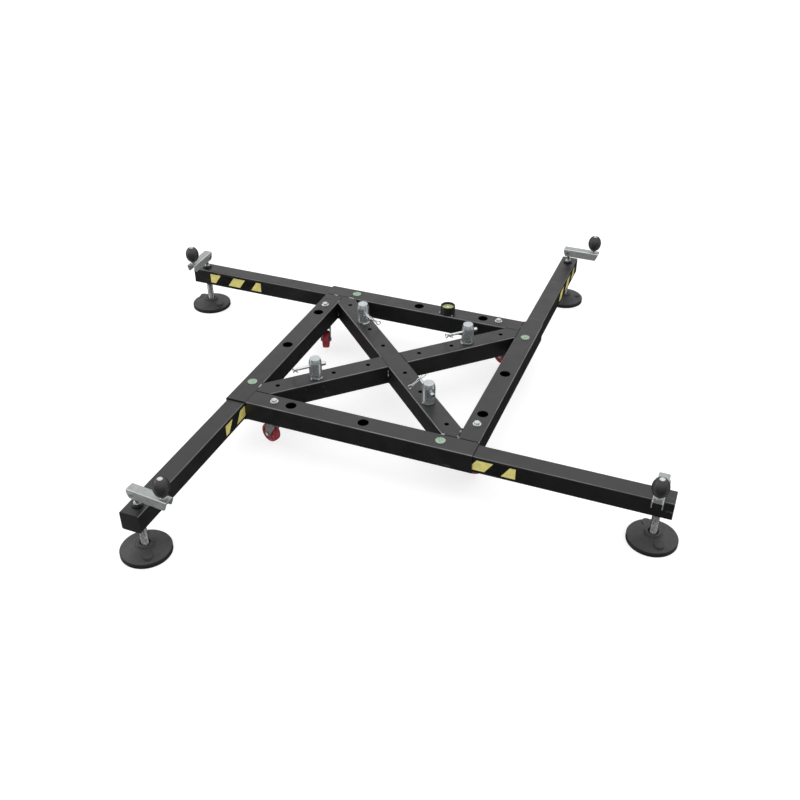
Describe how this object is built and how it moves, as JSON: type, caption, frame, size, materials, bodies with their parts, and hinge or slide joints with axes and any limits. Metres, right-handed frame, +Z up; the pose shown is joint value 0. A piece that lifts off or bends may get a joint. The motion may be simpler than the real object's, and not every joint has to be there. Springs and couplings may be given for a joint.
{
  "type": "truss tower ground base",
  "caption": "Square ground base for a truss tower: crossed steel tubes with upright pinned posts, castors, levels, and pull-out outriggers with crank jacks.",
  "frame": {"origin": "on the floor, at the centre of the square frame", "axes": "+Z up from the floor; +X along the front outrigger's slide, out of its sleeve; +Y from the front sleeve to the back sleeve"},
  "size_m": [2.342, 2.342, 0.343],
  "materials": {
    "frame_paint": "satin black paint",
    "leg_paint": "satin black paint",
    "foot_paint": "satin black paint on a casting",
    "post_zinc": "bright turned and plated",
    "pin_zinc": "plated",
    "clip_wire": "spring wire",
    "bolt_zinc": "zinc plated",
    "screw_zinc": "zinc plated",
    "lever_zinc": "zinc plated pressing",
    "ball_steel": "greased steel",
    "knob_plastic": "black phenolic",
    "fork_zinc": "zinc plated pressing",
    "wheel_red": "crimson polyurethane",
    "vial_green": "dark green moulding",
    "vial_green_clear": "pale green translucent",
    "level_black": "black moulding",
    "level_clear": "pale yellow-green translucent"
  },
  "bodies": {
    "frame": {"sleeve_front": "frame_paint", "sleeve_right": "frame_paint", "sleeve_back": "frame_paint", "sleeve_left": "frame_paint", "diagonal_long": "frame_paint", "diagonal_half_left": "frame_paint", "diagonal_half_right": "frame_paint", "truss_posts": "post_zinc", "castor_bolts": "bolt_zinc", "castor_bearing_plates": "fork_zinc", "outrigger_clamp_screws": "bolt_zinc", "vial_bodies": "vial_green", "vial_lenses": "vial_green_clear", "level_housing": "level_black", "level_lens": "level_clear"},
    "leg_front": {"outrigger_front": "leg_paint"},
    "ball_front": {"swivel_ball_front": "ball_steel"},
    "spindle_front": {"jack_spindle_front": "screw_zinc", "crank_pin_front": "bolt_zinc"},
    "lever_front": {"crank_lever_front": "lever_zinc"},
    "knob_front": {"crank_knob_front": "knob_plastic"},
    "foot_front": {"foot_plate_front": "foot_paint"},
    "castor_front": {"castor_fork_front": "fork_zinc"},
    "wheel_front": {"castor_wheel_front": "wheel_red"},
    "pin_front": {"post_pin_front": "pin_zinc"},
    "clip_front": {"spring_clip_front": "clip_wire"},
    "leg_right": {"outrigger_right": "leg_paint"},
    "ball_right": {"swivel_ball_right": "ball_steel"},
    "spindle_right": {"jack_spindle_right": "screw_zinc", "crank_pin_right": "bolt_zinc"},
    "lever_right": {"crank_lever_right": "lever_zinc"},
    "knob_right": {"crank_knob_right": "knob_plastic"},
    "foot_right": {"foot_plate_right": "foot_paint"},
    "castor_right": {"castor_fork_right": "fork_zinc"},
    "wheel_right": {"castor_wheel_right": "wheel_red"},
    "pin_right": {"post_pin_right": "pin_zinc"},
    "clip_right": {"spring_clip_right": "clip_wire"},
    "leg_back": {"outrigger_back": "leg_paint"},
    "ball_back": {"swivel_ball_back": "ball_steel"},
    "spindle_back": {"jack_spindle_back": "screw_zinc", "crank_pin_back": "bolt_zinc"},
    "lever_back": {"crank_lever_back": "lever_zinc"},
    "knob_back": {"crank_knob_back": "knob_plastic"},
    "foot_back": {"foot_plate_back": "foot_paint"},
    "castor_back": {"castor_fork_back": "fork_zinc"},
    "wheel_back": {"castor_wheel_back": "wheel_red"},
    "pin_back": {"post_pin_back": "pin_zinc"},
    "clip_back": {"spring_clip_back": "clip_wire"},
    "leg_left": {"outrigger_left": "leg_paint"},
    "ball_left": {"swivel_ball_left": "ball_steel"},
    "spindle_left": {"jack_spindle_left": "screw_zinc", "crank_pin_left": "bolt_zinc"},
    "lever_left": {"crank_lever_left": "lever_zinc"},
    "knob_left": {"crank_knob_left": "knob_plastic"},
    "foot_left": {"foot_plate_left": "foot_paint"},
    "castor_left": {"castor_fork_left": "fork_zinc"},
    "wheel_left": {"castor_wheel_left": "wheel_red"},
    "pin_left": {"post_pin_left": "pin_zinc"},
    "clip_left": {"spring_clip_left": "clip_wire"}
  },
  "joints": [
    {"name": "outrigger_slide_front", "type": "slide", "parent": "frame", "child": "leg_front", "axis": [1, 0, 0], "range_m": [-0.515, 0]},
    {"name": "jack_lift_front", "type": "slide", "parent": "leg_front", "child": "ball_front", "axis": [0, 0, 1], "range_m": [-0.025, 0.08]},
    {"name": "crank_turn_front", "type": "hinge", "parent": "ball_front", "child": "spindle_front", "pos_m": [1.086, -0.43, 0.15], "axis": [0, 0, 1], "range_deg": [-1801, 5761]},
    {"name": "foot_tilt_front", "type": "hinge", "parent": "ball_front", "child": "foot_front", "pos_m": [1.086, -0.43, 0.022], "axis": [1, 0, 0], "range_deg": [-8, 8]},
    {"name": "crank_fold_front", "type": "hinge", "parent": "spindle_front", "child": "lever_front", "pos_m": [1.086, -0.43, 0.251], "axis": [-1, 0, 0], "range_deg": [0, 95]},
    {"name": "knob_spin_front", "type": "hinge", "parent": "lever_front", "child": "knob_front", "pos_m": [1.086, -0.542, 0.309], "axis": [0, 0, 1], "continuous": true},
    {"name": "castor_swivel_front", "type": "hinge", "parent": "frame", "child": "castor_front", "pos_m": [-0.293, -0.43, 0.1], "axis": [0, 0, 1], "continuous": true},
    {"name": "wheel_spin_front", "type": "hinge", "parent": "castor_front", "child": "wheel_front", "pos_m": [-0.32326, -0.41958, 0.0535], "axis": [-0.3256, -0.9455, 0], "continuous": true},
    {"name": "pin_turn_front", "type": "hinge", "parent": "frame", "child": "pin_front", "pos_m": [0.225, -0.225, 0.253], "axis": [-0.7071, 0.7071, 0], "range_deg": [-5, 250]},
    {"name": "clip_pull_front", "type": "slide", "parent": "pin_front", "child": "clip_front", "axis": [-0.593, -0.593, -0.5446], "range_m": [0, 0.045]},
    {"name": "outrigger_slide_right", "type": "slide", "parent": "frame", "child": "leg_right", "axis": [0, 1, 0], "range_m": [-0.515, 0]},
    {"name": "jack_lift_right", "type": "slide", "parent": "leg_right", "child": "ball_right", "axis": [0, 0, 1], "range_m": [-0.025, 0.08]},
    {"name": "crank_turn_right", "type": "hinge", "parent": "ball_right", "child": "spindle_right", "pos_m": [0.43, 1.086, 0.15], "axis": [0, 0, 1], "range_deg": [-1801, 5761]},
    {"name": "foot_tilt_right", "type": "hinge", "parent": "ball_right", "child": "foot_right", "pos_m": [0.43, 1.086, 0.022], "axis": [0, 1, 0], "range_deg": [-8, 8]},
    {"name": "crank_fold_right", "type": "hinge", "parent": "spindle_right", "child": "lever_right", "pos_m": [0.43, 1.086, 0.251], "axis": [0, -1, 0], "range_deg": [0, 95]},
    {"name": "knob_spin_right", "type": "hinge", "parent": "lever_right", "child": "knob_right", "pos_m": [0.542, 1.086, 0.309], "axis": [0, 0, 1], "continuous": true},
    {"name": "castor_swivel_right", "type": "hinge", "parent": "frame", "child": "castor_right", "pos_m": [0.43, -0.293, 0.1], "axis": [0, 0, 1], "continuous": true},
    {"name": "wheel_spin_right", "type": "hinge", "parent": "castor_right", "child": "wheel_right", "pos_m": [0.44094, -0.32307, 0.0535], "axis": [0.9397, 0.342, 0], "continuous": true},
    {"name": "pin_turn_right", "type": "hinge", "parent": "frame", "child": "pin_right", "pos_m": [0.225, 0.225, 0.253], "axis": [-0.7071, -0.7071, 0], "range_deg": [-240, 5]},
    {"name": "clip_pull_right", "type": "slide", "parent": "pin_right", "child": "clip_right", "axis": [-0.6124, 0.6124, -0.5], "range_m": [0, 0.045]},
    {"name": "outrigger_slide_back", "type": "slide", "parent": "frame", "child": "leg_back", "axis": [-1, 0, 0], "range_m": [-0.515, 0]},
    {"name": "jack_lift_back", "type": "slide", "parent": "leg_back", "child": "ball_back", "axis": [0, 0, 1], "range_m": [-0.025, 0.08]},
    {"name": "crank_turn_back", "type": "hinge", "parent": "ball_back", "child": "spindle_back", "pos_m": [-1.086, 0.43, 0.15], "axis": [0, 0, 1], "range_deg": [-1801, 5761]},
    {"name": "foot_tilt_back", "type": "hinge", "parent": "ball_back", "child": "foot_back", "pos_m": [-1.086, 0.43, 0.022], "axis": [-1, 0, 0], "range_deg": [-8, 8]},
    {"name": "crank_fold_back", "type": "hinge", "parent": "spindle_back", "child": "lever_back", "pos_m": [-1.086, 0.43, 0.251], "axis": [-0.9994, -0.0349, 0], "range_deg": [0, 95]},
    {"name": "knob_spin_back", "type": "hinge", "parent": "lever_back", "child": "knob_back", "pos_m": [-1.08209, 0.31807, 0.309], "axis": [0, 0, 1], "continuous": true},
    {"name": "castor_swivel_back", "type": "hinge", "parent": "frame", "child": "castor_back", "pos_m": [0.293, 0.43, 0.1], "axis": [0, 0, 1], "continuous": true},
    {"name": "wheel_spin_back", "type": "hinge", "parent": "castor_back", "child": "wheel_back", "pos_m": [0.32307, 0.41906, 0.0535], "axis": [0.342, 0.9397, 0], "continuous": true},
    {"name": "pin_turn_back", "type": "hinge", "parent": "frame", "child": "pin_back", "pos_m": [-0.225, 0.225, 0.253], "axis": [0.7071, -0.7071, 0], "range_deg": [-4, 250]},
    {"name": "clip_pull_back", "type": "slide", "parent": "pin_back", "child": "clip_back", "axis": [0.5337, 0.5337, -0.6561], "range_m": [0, 0.045]},
    {"name": "outrigger_slide_left", "type": "slide", "parent": "frame", "child": "leg_left", "axis": [0, -1, 0], "range_m": [-0.515, 0]},
    {"name": "jack_lift_left", "type": "slide", "parent": "leg_left", "child": "ball_left", "axis": [0, 0, 1], "range_m": [-0.025, 0.08]},
    {"name": "crank_turn_left", "type": "hinge", "parent": "ball_left", "child": "spindle_left", "pos_m": [-0.43, -1.086, 0.15], "axis": [0, 0, 1], "range_deg": [-1801, 5761]},
    {"name": "foot_tilt_left", "type": "hinge", "parent": "ball_left", "child": "foot_left", "pos_m": [-0.43, -1.086, 0.022], "axis": [0, -1, 0], "range_deg": [-8, 8]},
    {"name": "crank_fold_left", "type": "hinge", "parent": "spindle_left", "child": "lever_left", "pos_m": [-0.43, -1.086, 0.251], "axis": [-0.0872, -0.9962, 0], "range_deg": [0, 95]},
    {"name": "knob_spin_left", "type": "hinge", "parent": "lever_left", "child": "knob_left", "pos_m": [-0.31843, -1.09576, 0.309], "axis": [0, 0, 1], "continuous": true},
    {"name": "castor_swivel_left", "type": "hinge", "parent": "frame", "child": "castor_left", "pos_m": [-0.43, 0.293, 0.1], "axis": [0, 0, 1], "continuous": true},
    {"name": "wheel_spin_left", "type": "hinge", "parent": "castor_left", "child": "wheel_left", "pos_m": [-0.41853, 0.26312, 0.0535], "axis": [0.9336, 0.3584, 0], "continuous": true},
    {"name": "pin_turn_left", "type": "hinge", "parent": "frame", "child": "pin_left", "pos_m": [-0.225, -0.225, 0.253], "axis": [-0.7071, -0.7071, 0], "range_deg": [-240, 5]},
    {"name": "clip_pull_left", "type": "slide", "parent": "pin_left", "child": "clip_left", "axis": [-0.6124, 0.6124, -0.5], "range_m": [0, 0.045]}
  ],
  "couplings": [
    {"joint": "crank_turn_front", "follows": "jack_lift_front", "rad_per_m": 1256.6},
    {"joint": "crank_turn_right", "follows": "jack_lift_right", "rad_per_m": 1256.6},
    {"joint": "crank_turn_back", "follows": "jack_lift_back", "rad_per_m": 1256.6},
    {"joint": "crank_turn_left", "follows": "jack_lift_left", "rad_per_m": 1256.6}
  ]
}
